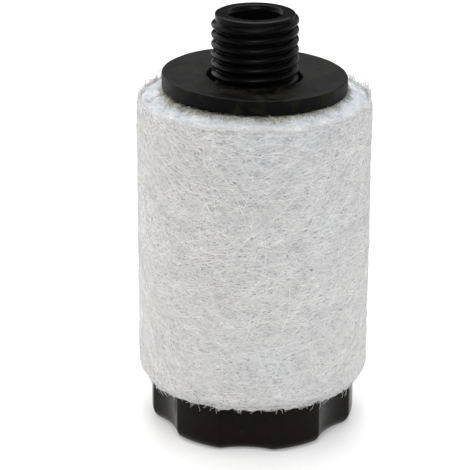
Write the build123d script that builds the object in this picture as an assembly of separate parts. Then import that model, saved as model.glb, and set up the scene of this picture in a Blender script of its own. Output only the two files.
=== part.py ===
from build123d import *

import os

# Pneumatic exhaust muffler with a coalescing element.
# Frame: origin at the centre of the bottom cap's base, +Z up along the inlet axis, millimetres.

# --- Inlet thread: 7/16-20 UNF straight external thread -------------------------------------
PORT_MAJOR_DIAMETER = 11.11
PORT_PITCH = 25.4 / 20
PORT_THREAD_DEPTH = 0.78
PORT_CREST_WIDTH = 0.20
PORT_ROOT_WIDTH = 1.10
NIPPLE_BORE_DIAMETER = 6.8
NIPPLE_STICK_OUT = 10.2
NIPPLE_TIP_CHAMFER = 0.9
NIPPLE_RIM_BREAK = 0.35
RELIEF_HEIGHT = 1.3

# --- Heights above the base -----------------------------------------------------------------
SEAT_Z = 44.7
FLANGE_THICKNESS = 1.5
WRAP_TOP_Z = 43.7
WRAP_BOTTOM_Z = 7.0
FELT_TOP_Z = 44.4
FELT_BOTTOM_Z = 7.5
CAP_HEIGHT = 6.9
DISC_BOTTOM_Z = 7.6
DISC_THICKNESS = 0.8
MEDIA_END_INSET = 1.2

# --- Radii of the nested element, from the inside out ---------------------------------------
CORE_INNER_RADIUS = 5.45
CORE_OUTER_RADIUS = 6.8
MESH_OUTER_RADIUS = 7.1
FOAM_OUTER_RADIUS = 8.1
INNER_MEDIA_OUTER_RADIUS = 8.95
OUTER_MEDIA_OUTER_RADIUS = 9.8
SUPPORT_OUTER_RADIUS = 10.3
FELT_SHOULDER_RADIUS = 12.3
FELT_OUTER_RADIUS = 14.45
WRAP_OUTER_RADIUS = 15.0
WRAP_BOTTOM_RADIUS = 14.9
WRAP_HEM_RADIUS = 13.6
WRAP_SOFT_EDGE = 0.4
DISC_RADIUS = 13.3
LAYER_GAP = 0.02

# --- Gasket ---------------------------------------------------------------------------------
GASKET_RADIUS = 11.78
GASKET_HOLE_RADIUS = 6.0
GASKET_THICKNESS = 1.95
GASKET_EDGE_BREAK = 0.15
FLANGE_RADIUS = 11.0

# --- Bottom cap -----------------------------------------------------------------------------
CAP_RADIUS = 13.25
CAP_BASE_ROUND = 1.6
CAP_WALL = 2.05
CAP_FLOOR = 2.0
SCALLOPS = 6
SCALLOP_DEPTH = 1.1
SCALLOP_ARC_RADIUS = 11.8
FIRST_SCALLOP_ANGLE = -93.3
BOSS_RADIUS = 5.2
BOSS_TOP_Z = 8.0
BASE_DISH_RADIUS = 8.5
BASE_DISH_DEPTH = 0.5

# --- Cap screw thread: M6 x 1 stud in a brass insert ----------------------------------------
STUD_PITCH = 1.0
STUD_CREST_RADIUS = 2.93
STUD_ROOT_RADIUS = 2.38
INSERT_MINOR_RADIUS = 2.52
INSERT_MAJOR_RADIUS = 3.06
STUD_TIP_Z = 2.9
INSERT_RADIUS = 4.0
INSERT_BOTTOM_Z = 2.4
THREAD_CREST_WIDTH = 0.12
THREAD_ROOT_WIDTH = 0.74
GROOVE_CREST_WIDTH = 0.26
GROOVE_ROOT_WIDTH = 0.84
THREAD_START_Z = STUD_TIP_Z + 0.5

# --- Small parts ----------------------------------------------------------------------------
O_RING_SECTION_RADIUS = 0.42
O_RING_CENTRE_RADIUS = 4.97
O_RING_GROOVE_WIDTH = 1.2
O_RING_GROOVE_RADIUS = 4.53
SPIGOT_RADIUS = 5.4
SPIGOT_BOTTOM_Z = 35.2
PLUG_BOTTOM_Z = 8.7
PLUG_TOP_Z = 14.7
STUD_HEAD_RADIUS = 3.9
STUD_HEAD_HEIGHT = 3.2
STUD_HEAD_COVER = 1.2
STRAINER_RISE = 1.4
SPIGOT_RING_Z = 39.6
PLUG_RING_Z = 12.6
STRAINER_POCKET_RADIUS = 4.2
STRAINER_THICKNESS = 0.3
STRAINER_RING_INNER_RADIUS = 3.7
STRAINER_RING_HEIGHT = 0.7
CORE_HOLE_RADIUS = 1.2
CORE_HOLES_PER_ROW = 8
CORE_HOLE_ROWS = 6
SUPPORT_HOLE_RADIUS = 1.0
SUPPORT_HOLES_PER_ROW = 14
SUPPORT_HOLE_ROWS = 9

# --- Worked-out heights ---------------------------------------------------------------------
NIPPLE_TOP_Z = SEAT_Z + NIPPLE_STICK_OUT
FLANGE_BOTTOM_Z = SEAT_Z - FLANGE_THICKNESS
DISC_TOP_Z = DISC_BOTTOM_Z + DISC_THICKNESS
MEDIA_BOTTOM_Z = DISC_TOP_Z + MEDIA_END_INSET
MEDIA_TOP_Z = FLANGE_BOTTOM_Z - MEDIA_END_INSET
STRAINER_Z = SPIGOT_BOTTOM_Z + STRAINER_RISE
STUD_HEAD_TOP_Z = PLUG_TOP_Z - STUD_HEAD_COVER

STANDING = (Align.CENTER, Align.CENTER, Align.MIN)


def cylinder(radius, bottom, top):
    """A solid cylinder on the main axis between two heights."""
    return Pos(0, 0, bottom) * Cylinder(radius, top - bottom, align=STANDING)


def tube(inner_radius, outer_radius, bottom, top):
    """A hollow cylinder on the main axis between two heights."""
    return cylinder(outer_radius, bottom, top) - cylinder(inner_radius, bottom, top)


def turned(*points):
    """A body of revolution from (radius, height) corners listed around its section."""
    section = make_face(Plane.XZ * Polyline(*points, close=True))
    return revolve(section, Axis.Z)


def helical_ridge(base_radius, tip_radius, base_width, tip_width, pitch, bottom, turns):
    """A right-hand thread ridge of trapezoid section, base towards base_radius."""
    half_base = base_width / 2
    half_tip = tip_width / 2
    corners = [
        (base_radius, -half_base),
        (tip_radius, -half_tip),
        (tip_radius, half_tip),
        (base_radius, half_base),
    ]
    section = make_face(Plane.XZ * Polyline(*corners, close=True))
    path = Helix(pitch=pitch, height=pitch * turns, radius=base_radius)
    return Pos(0, 0, bottom) * sweep(section, path, is_frenet=True)


def ring_of_holes(radius, count, height, first_angle, reach):
    """Radial drills pointing outwards at one height."""
    drill = Rot(0, 90, 0) * Cylinder(radius, reach, align=STANDING)
    turn = 360 / count
    return [Rot(0, 0, first_angle + turn * step) * Pos(0, 0, height) * drill for step in range(count)]


def perforated_tube(inner, outer, bottom, top, hole_radius, per_row, rows):
    """A tube with staggered rows of round holes, plain at both ends."""
    spacing = (top - bottom) / (rows + 1)
    drills = []
    for row in range(rows):
        height = bottom + spacing * (row + 1)
        stagger = (row % 2) * 180 / per_row
        drills += ring_of_holes(hole_radius, per_row, height, stagger, outer + 1)
    return tube(inner, outer, bottom, top) - drills


def o_ring_groove(height):
    """The ring of material that an O-ring groove takes away, centred on a height."""
    half = O_RING_GROOVE_WIDTH / 2
    return tube(O_RING_GROOVE_RADIUS, SPIGOT_RADIUS + 1, height - half, height + half)


def o_ring(height):
    """One O-ring lying in its groove."""
    return Pos(0, 0, height) * Torus(O_RING_CENTRE_RADIUS, O_RING_SECTION_RADIUS)


def inlet_nipple():
    """The moulded inlet: threaded nipple, seat flange and the spigot that carries the core."""
    major = PORT_MAJOR_DIAMETER / 2
    root = major - PORT_THREAD_DEPTH
    thread_bottom = SEAT_Z + RELIEF_HEIGHT
    turns = (NIPPLE_TOP_Z - thread_bottom) / PORT_PITCH + 0.5
    barrel = cylinder(root, SEAT_Z - 0.5, NIPPLE_TOP_Z + PORT_PITCH)
    ridge = helical_ridge(
        root - 0.05, major, PORT_ROOT_WIDTH, PORT_CREST_WIDTH, PORT_PITCH, thread_bottom, turns
    )
    threaded = barrel + ridge
    envelope = turned(
        (0, SEAT_Z - 1),
        (major + 1, SEAT_Z - 1),
        (major + 1, NIPPLE_TOP_Z - NIPPLE_TIP_CHAMFER - 1),
        (major - NIPPLE_TIP_CHAMFER, NIPPLE_TOP_Z),
        (0, NIPPLE_TOP_Z),
    )
    threaded = threaded & envelope
    flange = cylinder(FLANGE_RADIUS, FLANGE_BOTTOM_Z, SEAT_Z)
    spigot = cylinder(SPIGOT_RADIUS, SPIGOT_BOTTOM_Z, FLANGE_BOTTOM_Z) - o_ring_groove(SPIGOT_RING_Z)
    bore = cylinder(NIPPLE_BORE_DIAMETER / 2, SPIGOT_BOTTOM_Z - 1, NIPPLE_TOP_Z + 1)
    pocket = cylinder(STRAINER_POCKET_RADIUS, SPIGOT_BOTTOM_Z - 1, STRAINER_Z + STRAINER_THICKNESS)
    rim = NIPPLE_BORE_DIAMETER / 2 + NIPPLE_RIM_BREAK
    rim_break = turned(
        (0, NIPPLE_TOP_Z - NIPPLE_RIM_BREAK),
        (NIPPLE_BORE_DIAMETER / 2, NIPPLE_TOP_Z - NIPPLE_RIM_BREAK),
        (rim, NIPPLE_TOP_Z),
        (rim, NIPPLE_TOP_Z + 1),
        (0, NIPPLE_TOP_Z + 1),
    )
    return threaded + flange + spigot - bore - pocket - rim_break


def inlet_strainer():
    """Fine mesh disc in the spigot's end that keeps debris out of the core."""
    return cylinder(STRAINER_POCKET_RADIUS - LAYER_GAP, STRAINER_Z, STRAINER_Z + STRAINER_THICKNESS)


def strainer_ring():
    """Split spring ring that holds the strainer in its pocket."""
    outer = STRAINER_POCKET_RADIUS - LAYER_GAP
    ring = tube(STRAINER_RING_INNER_RADIUS, outer, STRAINER_Z - STRAINER_RING_HEIGHT, STRAINER_Z)
    gap = Pos(outer, 0, STRAINER_Z - STRAINER_RING_HEIGHT / 2) * Box(2, 1.2, 2 * STRAINER_RING_HEIGHT)
    return ring - gap


def port_gasket():
    """Loose flat rubber gasket that seals the flange against the port face."""
    top = SEAT_Z + GASKET_THICKNESS
    return turned(
        (GASKET_HOLE_RADIUS, SEAT_Z),
        (GASKET_RADIUS - GASKET_EDGE_BREAK, SEAT_Z),
        (GASKET_RADIUS, SEAT_Z + GASKET_EDGE_BREAK),
        (GASKET_RADIUS, top - GASKET_EDGE_BREAK),
        (GASKET_RADIUS - GASKET_EDGE_BREAK, top),
        (GASKET_HOLE_RADIUS, top),
    )


def core_tube():
    """Perforated tube that carries the pressure and lets the air out sideways."""
    return perforated_tube(
        CORE_INNER_RADIUS,
        CORE_OUTER_RADIUS,
        DISC_TOP_Z,
        FLANGE_BOTTOM_Z,
        CORE_HOLE_RADIUS,
        CORE_HOLES_PER_ROW,
        CORE_HOLE_ROWS,
    )


def media_layer(inner_radius, outer_radius):
    """One closed sleeve of the media stack between the two end seals."""
    return tube(inner_radius + LAYER_GAP, outer_radius, MEDIA_BOTTOM_Z, MEDIA_TOP_Z)


def core_mesh_sleeve():
    """Woven wire sleeve over the core's holes."""
    return media_layer(CORE_OUTER_RADIUS, MESH_OUTER_RADIUS)


def inner_foam():
    """Open-cell foam sleeve that spreads the flow."""
    return media_layer(MESH_OUTER_RADIUS, FOAM_OUTER_RADIUS)


def microfibre_wrap_inner():
    """Finer of the two coalescing wraps, next to the foam."""
    return media_layer(FOAM_OUTER_RADIUS, INNER_MEDIA_OUTER_RADIUS)


def microfibre_wrap_outer():
    """Coarser coalescing wrap, next to the support tube."""
    return media_layer(INNER_MEDIA_OUTER_RADIUS, OUTER_MEDIA_OUTER_RADIUS)


def end_seal(bottom, top):
    """Cast ring that closes one end of the media stack."""
    return tube(CORE_OUTER_RADIUS + LAYER_GAP, OUTER_MEDIA_OUTER_RADIUS, bottom, top)


def top_end_seal():
    """Cast seal between the media and the seat flange."""
    return end_seal(MEDIA_TOP_Z, FLANGE_BOTTOM_Z)


def bottom_end_seal():
    """Cast seal between the media and the lower end disc."""
    return end_seal(DISC_TOP_Z, MEDIA_BOTTOM_Z)


def outer_support_tube():
    """Perforated steel tube round the fine media."""
    return perforated_tube(
        OUTER_MEDIA_OUTER_RADIUS + LAYER_GAP,
        SUPPORT_OUTER_RADIUS,
        DISC_TOP_Z,
        FLANGE_BOTTOM_Z,
        SUPPORT_HOLE_RADIUS,
        SUPPORT_HOLES_PER_ROW,
        SUPPORT_HOLE_ROWS,
    )


def drain_felt():
    """Thick felt sleeve that drains the oil, standing up round the seat flange."""
    inner = SUPPORT_OUTER_RADIUS + LAYER_GAP
    collar = FLANGE_RADIUS + 0.05
    foot = DISC_RADIUS + 0.05
    return turned(
        (inner, DISC_TOP_Z),
        (foot, DISC_TOP_Z),
        (foot, FELT_BOTTOM_Z),
        (FELT_OUTER_RADIUS, FELT_BOTTOM_Z),
        (FELT_OUTER_RADIUS, WRAP_TOP_Z),
        (FELT_SHOULDER_RADIUS, FELT_TOP_Z),
        (collar, FELT_TOP_Z),
        (collar, FLANGE_BOTTOM_Z),
        (inner, FLANGE_BOTTOM_Z),
    )


def outer_wrap():
    """Thin white non-woven sleeve over the felt, hemmed in under its lower edge."""
    inner = FELT_OUTER_RADIUS + LAYER_GAP
    hem_top = FELT_BOTTOM_Z - LAYER_GAP
    return turned(
        (WRAP_HEM_RADIUS, WRAP_BOTTOM_Z),
        (WRAP_BOTTOM_RADIUS - WRAP_SOFT_EDGE, WRAP_BOTTOM_Z),
        (WRAP_BOTTOM_RADIUS, WRAP_BOTTOM_Z + WRAP_SOFT_EDGE),
        (WRAP_OUTER_RADIUS, WRAP_TOP_Z - WRAP_SOFT_EDGE / 2),
        (WRAP_OUTER_RADIUS - WRAP_SOFT_EDGE / 2, WRAP_TOP_Z),
        (inner, WRAP_TOP_Z),
        (inner, hem_top),
        (WRAP_HEM_RADIUS, hem_top),
    )


def lower_end_disc():
    """Rigid disc under the element, with drain holes into the cap's sump."""
    disc = tube(BOSS_RADIUS + 0.35, DISC_RADIUS, DISC_BOTTOM_Z, DISC_TOP_Z)
    drain = cylinder(0.8, DISC_BOTTOM_Z - 1, DISC_TOP_Z + 1)
    drains = [Rot(0, 0, 30 * step) * Pos(8.6, 0, 0) * drain for step in range(12)]
    return disc - drains


def core_end_plug():
    """Blind plug in the core's lower end, holding the head of the tie stud."""
    body = cylinder(SPIGOT_RADIUS, PLUG_BOTTOM_Z, PLUG_TOP_Z) - o_ring_groove(PLUG_RING_Z)
    head_pocket = cylinder(STUD_HEAD_RADIUS, STUD_HEAD_TOP_Z - STUD_HEAD_HEIGHT, STUD_HEAD_TOP_Z)
    shank_hole = cylinder(STUD_CREST_RADIUS + LAYER_GAP, PLUG_BOTTOM_Z - 1, STUD_HEAD_TOP_Z - 1)
    return body - head_pocket - shank_hole


def tie_stud():
    """Steel stud moulded into the plug, threaded where the cap screws on."""
    head_bottom = STUD_HEAD_TOP_Z - STUD_HEAD_HEIGHT
    head = cylinder(STUD_HEAD_RADIUS - LAYER_GAP, head_bottom + LAYER_GAP, STUD_HEAD_TOP_Z - LAYER_GAP)
    shank = cylinder(STUD_CREST_RADIUS, BOSS_TOP_Z, head_bottom + 1)
    core = cylinder(STUD_ROOT_RADIUS, STUD_TIP_Z, DISC_TOP_Z)
    ridge = helical_ridge(
        STUD_ROOT_RADIUS - 0.05,
        STUD_CREST_RADIUS,
        THREAD_ROOT_WIDTH,
        THREAD_CREST_WIDTH,
        STUD_PITCH,
        THREAD_START_Z,
        (BOSS_TOP_Z + 0.2 - THREAD_START_Z) / STUD_PITCH,
    )
    return head + shank + (core + ridge)


def bottom_cap():
    """Scalloped hand cap: sump, centre boss and a rounded base edge."""
    rounded = turned(
        (0, 0),
        (CAP_RADIUS, 0),
        (CAP_RADIUS, CAP_HEIGHT),
        (0, CAP_HEIGHT),
    )
    rounded = fillet(rounded.edges().sort_by(Axis.Z)[0], CAP_BASE_ROUND)
    centre = CAP_RADIUS - SCALLOP_DEPTH + SCALLOP_ARC_RADIUS
    cutter = Pos(centre, 0, 0) * cylinder(SCALLOP_ARC_RADIUS, -1, CAP_HEIGHT + 1)
    turn = 360 / SCALLOPS
    scallops = [Rot(0, 0, FIRST_SCALLOP_ANGLE + turn * step) * cutter for step in range(SCALLOPS)]
    sump = tube(BOSS_RADIUS, CAP_RADIUS - CAP_WALL, CAP_FLOOR, CAP_HEIGHT + 1)
    boss = cylinder(BOSS_RADIUS, CAP_HEIGHT - 1, BOSS_TOP_Z)
    insert_pocket = cylinder(INSERT_RADIUS, INSERT_BOTTOM_Z, BOSS_TOP_Z + 1)
    dish = Pos(0, 0, -1) * Cylinder(BASE_DISH_RADIUS, 1 + BASE_DISH_DEPTH, align=STANDING)
    return rounded - scallops - sump + boss - insert_pocket - dish


def cap_insert():
    """Brass insert moulded into the cap's boss, tapped for the stud."""
    blank = cylinder(INSERT_RADIUS - LAYER_GAP, INSERT_BOTTOM_Z, BOSS_TOP_Z)
    start = THREAD_START_Z - 2 * STUD_PITCH
    groove = helical_ridge(
        INSERT_MINOR_RADIUS - 0.1,
        INSERT_MAJOR_RADIUS,
        GROOVE_ROOT_WIDTH,
        GROOVE_CREST_WIDTH,
        STUD_PITCH,
        start,
        (BOSS_TOP_Z - start) / STUD_PITCH + 2,
    )
    tap = cylinder(INSERT_MINOR_RADIUS, start, BOSS_TOP_Z + 3 * STUD_PITCH) + groove
    return blank - tap


def slip_washer():
    """Thin nylon washer between the turning cap and the still element."""
    return tube(11.4, CAP_RADIUS - 0.1, CAP_HEIGHT + 0.05, DISC_BOTTOM_Z - 0.05)


def sump_pad():
    """Absorbent felt ring in the cap's sump."""
    return tube(BOSS_RADIUS + 0.1, CAP_RADIUS - CAP_WALL - 0.1, CAP_FLOOR, CAP_FLOOR + 3)


def spigot_o_ring():
    """O-ring between the inlet spigot and the core tube."""
    return o_ring(SPIGOT_RING_Z)


def plug_o_ring():
    """O-ring between the end plug and the core tube."""
    return o_ring(PLUG_RING_Z)


SUB_PARTS = [
    inlet_nipple,
    port_gasket,
    spigot_o_ring,
    inlet_strainer,
    strainer_ring,
    core_tube,
    core_mesh_sleeve,
    inner_foam,
    microfibre_wrap_inner,
    microfibre_wrap_outer,
    top_end_seal,
    bottom_end_seal,
    outer_support_tube,
    drain_felt,
    outer_wrap,
    lower_end_disc,
    core_end_plug,
    plug_o_ring,
    tie_stud,
    slip_washer,
    bottom_cap,
    cap_insert,
    sump_pad,
]

os.makedirs("parts", exist_ok=True)
for sub_part in SUB_PARTS:
    export_step(sub_part(), f"parts/{sub_part.__name__}.step")
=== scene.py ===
"""Looks of a pneumatic muffler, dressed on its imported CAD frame.

The frame is in metres with +Z up along the inlet axis. Each class below stands for one sub-assembly
of the muffler: it holds its own sizes, builds its meshes as numpy surfaces and gives them a finish.
"""

import logging
import math
from collections.abc import Callable, Iterable
from dataclasses import dataclass, field
from enum import Enum
from typing import Any

import bpy
import numpy as np
from mathutils import Matrix, Vector


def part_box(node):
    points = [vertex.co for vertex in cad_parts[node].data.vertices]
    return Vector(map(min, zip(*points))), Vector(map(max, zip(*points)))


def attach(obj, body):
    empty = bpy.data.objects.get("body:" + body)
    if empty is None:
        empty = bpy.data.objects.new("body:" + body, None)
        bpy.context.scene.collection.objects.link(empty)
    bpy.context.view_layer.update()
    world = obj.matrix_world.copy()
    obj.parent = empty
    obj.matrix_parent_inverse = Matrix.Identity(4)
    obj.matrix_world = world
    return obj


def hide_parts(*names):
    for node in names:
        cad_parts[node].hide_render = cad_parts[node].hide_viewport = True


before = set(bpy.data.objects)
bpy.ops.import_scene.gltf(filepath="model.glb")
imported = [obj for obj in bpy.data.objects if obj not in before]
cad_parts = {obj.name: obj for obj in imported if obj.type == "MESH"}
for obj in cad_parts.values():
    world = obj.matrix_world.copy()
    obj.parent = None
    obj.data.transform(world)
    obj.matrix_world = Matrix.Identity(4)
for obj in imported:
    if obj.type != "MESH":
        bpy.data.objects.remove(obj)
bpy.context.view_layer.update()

log = logging.getLogger("muffler")
MM = 0.001
TURN = 2 * math.pi
UPWARDS = np.array([0.0, 0.0, 1.0])
Array = np.ndarray
Point = tuple[float, float]
Colour = tuple[float, float, float]


# --- Numpy surfaces ---------------------------------------------------------------------------


class Ends(Enum):
    """How the first and last rows of a grid are finished."""

    OPEN = "open"
    JOINED = "joined"
    CAPPED = "capped"


def grid_faces(rows: int, columns: int, ends: Ends) -> Array:
    """Quads of a grid whose columns close on themselves.

    Args:
        rows: number of rows of points.
        columns: number of points in each closed row.
        ends: JOINED also links the last row to the first.

    Returns:
        An array of four point numbers per face.
    """
    last = rows if ends is Ends.JOINED else rows - 1
    row, column = np.meshgrid(np.arange(last), np.arange(columns), indexing="ij")
    below = (row + 1) % rows
    beside = (column + 1) % columns
    here, under = row * columns, below * columns
    corners = [here + column, here + beside, under + beside, under + column]
    return np.stack([corner.ravel() for corner in corners], axis=1)


def new_piece(name: str, points: Array, faces: Iterable, smooth: bool = True) -> bpy.types.Object:
    """Makes a mesh object from whole arrays and puts it in the scene.

    Args:
        name: the piece's name.
        points: array of x, y, z in metres.
        faces: point numbers of each face, seen from outside.
        smooth: whether faces are shaded smoothly.

    Returns:
        The new object, at the origin.
    """
    mesh = bpy.data.meshes.new(name)
    mesh.from_pydata(points, [], faces)
    mesh.polygons.foreach_set("use_smooth", np.full(len(mesh.polygons), smooth))
    mesh.validate()
    mesh.update()
    piece = bpy.data.objects.new(name, mesh)
    bpy.context.scene.collection.objects.link(piece)
    return piece


def ring_surface(name: str, radius: Array, height: Array, angle: Array, ends: Ends) -> bpy.types.Object:
    """A surface round the main axis: point = (radius cos angle, radius sin angle, height).

    Args:
        name: the piece's name.
        radius: rows by columns of distances from the axis.
        height: rows by columns of heights.
        angle: one angle per column.
        ends: JOINED closes the section; CAPPED ends each open row in one point on the axis.

    Returns:
        The new object. Rows run round the section so that faces point outwards.
    """
    rows, columns = radius.shape
    points = np.stack([radius * np.cos(angle), radius * np.sin(angle), height], axis=-1).reshape(-1, 3)
    faces = grid_faces(rows, columns, ends)[:, ::-1].tolist()
    if ends is Ends.CAPPED:
        poles = np.array([[0, 0, height[0].mean()], [0, 0, height[-1].mean()]])
        points = np.vstack([points, poles])
        here = np.arange(columns)
        after = (here + 1) % columns
        first = np.full(columns, rows * columns)
        offset = (rows - 1) * columns
        faces += np.stack([first, after, here], axis=1).tolist()
        faces += np.stack([first + 1, offset + here, offset + after], axis=1).tolist()
    return new_piece(name, points, faces)


def section_path(corners: list[Point], step: float, closed: bool = True) -> tuple[Array, Array]:
    """Points spaced evenly along the straight runs between section corners.

    Args:
        corners: (radius, height) corners in order.
        step: greatest spacing.
        closed: whether the last corner runs back to the first.

    Returns:
        The radii and the heights of the points.
    """
    ring = corners + corners[:1] if closed else corners
    pieces = []
    for start, end in zip(ring[:-1], ring[1:]):
        count = max(1, math.ceil(math.dist(start, end) / step))
        share = np.arange(count)[:, None] / count
        pieces.append(np.array(start) * (1 - share) + np.array(end) * share)
    if not closed:
        pieces.append(np.array(ring[-1:]))
    path = np.vstack(pieces)
    return path[:, 0], path[:, 1]


def rounded_corner(centre: Point, size: float, start: float, end: float, count: int) -> list[Point]:
    """Points of an arc about a section centre, from one angle in degrees to another."""
    turn = np.radians(np.linspace(start, end, count))
    return [(centre[0] + size * math.cos(t), centre[1] + size * math.sin(t)) for t in turn]


def lattice_noise(u: Array, v: Array, cells: tuple[int, int], seed: int) -> Array:
    """Smooth noise from -1 to 1 on a random lattice that repeats along u.

    Each point blends its four lattice corners with the weight 3t^2 - 2t^3.

    Args:
        u: position round, where 1 is a whole turn.
        v: position along, where 1 spans all cells.
        cells: lattice cells along u and v.
        seed: number of the random lattice.

    Returns:
        Noise values, shaped as u and v broadcast together.
    """
    table = np.random.default_rng(seed).uniform(-1, 1, cells)
    x = np.asarray(u) * cells[0]
    y = np.asarray(v) * cells[1]
    left, low = np.floor(x).astype(int), np.floor(y).astype(int)
    across, up = x - left, y - low
    across = across * across * (3 - 2 * across)
    up = up * up * (3 - 2 * up)
    a = table[left % cells[0], low % cells[1]]
    b = table[(left + 1) % cells[0], low % cells[1]]
    c = table[left % cells[0], (low + 1) % cells[1]]
    d = table[(left + 1) % cells[0], (low + 1) % cells[1]]
    return (a * (1 - across) + b * across) * (1 - up) + (c * (1 - across) + d * across) * up


def summed_noise(u: Array, v: Array, *layers: tuple[int, int, int, float]) -> Array:
    """Sum of lattice noises, each layer given as cells along u, cells along v, seed and size."""
    return sum(lattice_noise(u, v, (across, along), seed) * size for across, along, seed, size in layers)


def around_axis(radius: Array, angle: Array, height: Array) -> tuple[Array, Array]:
    """Points round the main axis, and the directions away from it.

    Args:
        radius: distances from the axis.
        angle: angles in radians.
        height: heights.

    Returns:
        Points and unit directions, with x, y and z along a last dimension.
    """
    outward = np.stack([np.cos(angle), np.sin(angle), 0 * angle], axis=-1)
    points = outward * radius[..., None]
    points[..., 2] = height
    return points, outward


def smooth_step(low: float, high: float, x: Array) -> Array:
    """0 below low, 1 above high, and 3t^2 - 2t^3 between."""
    t = np.clip((x - low) / (high - low), 0, 1)
    return t * t * (3 - 2 * t)


# --- Shader building --------------------------------------------------------------------------


class Wire:
    """One output socket of a shader, which can be used in arithmetic."""

    def __init__(self, graph: "Graph", socket: bpy.types.NodeSocket) -> None:
        """Keeps the graph that the socket belongs to."""
        self.graph = graph
        self.socket = socket

    def _math(self, operation: str, first: Any, second: Any = 0.0) -> "Wire":
        """Adds one Math node."""
        node = self.graph.node("ShaderNodeMath", {"operation": operation}, {0: first, 1: second})
        return self.graph.wire(node, 0)

    def __add__(self, other: Any) -> "Wire":
        """self + other."""
        return self._math("ADD", self, other)

    __radd__ = __add__

    def __sub__(self, other: Any) -> "Wire":
        """self - other."""
        return self._math("SUBTRACT", self, other)

    def __rsub__(self, other: Any) -> "Wire":
        """other - self."""
        return self._math("SUBTRACT", other, self)

    def __mul__(self, other: Any) -> "Wire":
        """self * other."""
        return self._math("MULTIPLY", self, other)

    __rmul__ = __mul__

    def __pow__(self, other: Any) -> "Wire":
        """self ** other."""
        return self._math("POWER", self, other)

    def clamp(self) -> "Wire":
        """self held between 0 and 1."""
        node = self.graph.node("ShaderNodeClamp", {}, {"Value": self})
        return self.graph.wire(node, 0)

    def ramp(self, low: float, high: float, out_low: float = 0.0, out_high: float = 1.0) -> "Wire":
        """self mapped smoothly from one range to another."""
        node = self.graph.node(
            "ShaderNodeMapRange",
            {"interpolation_type": "SMOOTHSTEP"},
            {"Value": self, "From Min": low, "From Max": high, "To Min": out_low, "To Max": out_high},
        )
        return self.graph.wire(node, 0)


class Graph:
    """The node tree of one material, built by name."""

    def __init__(self, name: str) -> None:
        """Starts an empty material that ends in a Principled shader."""
        self.material = bpy.data.materials.new(name)
        self.material.use_nodes = True
        self.tree = self.material.node_tree
        self.tree.nodes.clear()
        self.shader = self.tree.nodes.new("ShaderNodeBsdfPrincipled")
        output = self.tree.nodes.new("ShaderNodeOutputMaterial")
        self.tree.links.new(self.shader.outputs[0], output.inputs[0])

    def feed(self, node: bpy.types.Node, inputs: dict) -> None:
        """Sets or links a node's input sockets.

        Args:
            node: the node to feed.
            inputs: socket name or number to a plain value or a Wire.
        """
        for key, value in inputs.items():
            if isinstance(value, Wire):
                self.tree.links.new(value.socket, node.inputs[key])
            else:
                node.inputs[key].default_value = value

    def node(self, kind: str, settings: dict, inputs: dict) -> bpy.types.Node:
        """Adds a node.

        Args:
            kind: Blender's type name of the node.
            settings: attributes of the node, which are set first.
            inputs: values or wires of its sockets.

        Returns:
            The new node.
        """
        made = self.tree.nodes.new(kind)
        for key, value in settings.items():
            setattr(made, key, value)
        self.feed(made, inputs)
        return made

    def wire(self, node: bpy.types.Node, output: Any = 0) -> Wire:
        """An output socket as a Wire."""
        return Wire(self, node.outputs[output])

    def mapped(self, settings: dict, scale: tuple, turn: tuple) -> Wire:
        """Object coordinates through a Mapping node.

        Args:
            settings: attributes of the node.
            scale: stretch along each axis.
            turn: angles round each axis in radians.

        Returns:
            The mapped coordinates.
        """
        place = self.wire(self.node("ShaderNodeTexCoord", {}, {}), "Object")
        inputs = {"Vector": place, "Scale": scale, "Rotation": turn}
        return self.wire(self.node("ShaderNodeMapping", settings, inputs))

    def place(self, scale: tuple = (1, 1, 1), turn: tuple = (0, 0, 0)) -> Wire:
        """Object coordinates, stretched and then turned."""
        return self.mapped({}, scale, turn)

    def slanted(self, turn: tuple, stretch: float) -> Wire:
        """Object coordinates turned by some angles in radians, then drawn out sideways."""
        return self.mapped({"vector_type": "TEXTURE"}, (1, 1, 1 / stretch), turn)

    def noise(
        self, place: Wire, scale: float, detail: float = 3.0, rough: float = 0.5, warp: float = 0.0
    ) -> Wire:
        """Cloud noise from 0 to 1."""
        inputs = {"Vector": place, "Scale": scale, "Detail": detail, "Roughness": rough, "Distortion": warp}
        return self.wire(self.node("ShaderNodeTexNoise", {}, inputs), 0)

    def cells(self, place: Wire, scale: float) -> Wire:
        """Distance to the nearest cell point."""
        node = self.node("ShaderNodeTexVoronoi", {}, {"Vector": place, "Scale": scale})
        return self.wire(node, "Distance")

    def blend(self, share: Any, low: Any, high: Any) -> Wire:
        """Colour between low and high by share."""
        colours = [(*c, 1.0) if isinstance(c, tuple) else c for c in (low, high)]
        node = self.node("ShaderNodeMix", {"data_type": "RGBA"}, {0: share, 6: colours[0], 7: colours[1]})
        return self.wire(node, 2)

    def bump(self, height: Wire, depth: float, strength: float = 1.0) -> Wire:
        """Surface relief of a height from 0 to 1 over a depth in metres."""
        inputs = {"Height": height, "Distance": depth, "Strength": strength}
        return self.wire(self.node("ShaderNodeBump", {}, inputs))

    def finish(self, inputs: dict) -> bpy.types.Material:
        """Feeds the Principled shader and returns the material."""
        self.feed(self.shader, inputs)
        return self.material


# --- Finishes ---------------------------------------------------------------------------------


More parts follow.
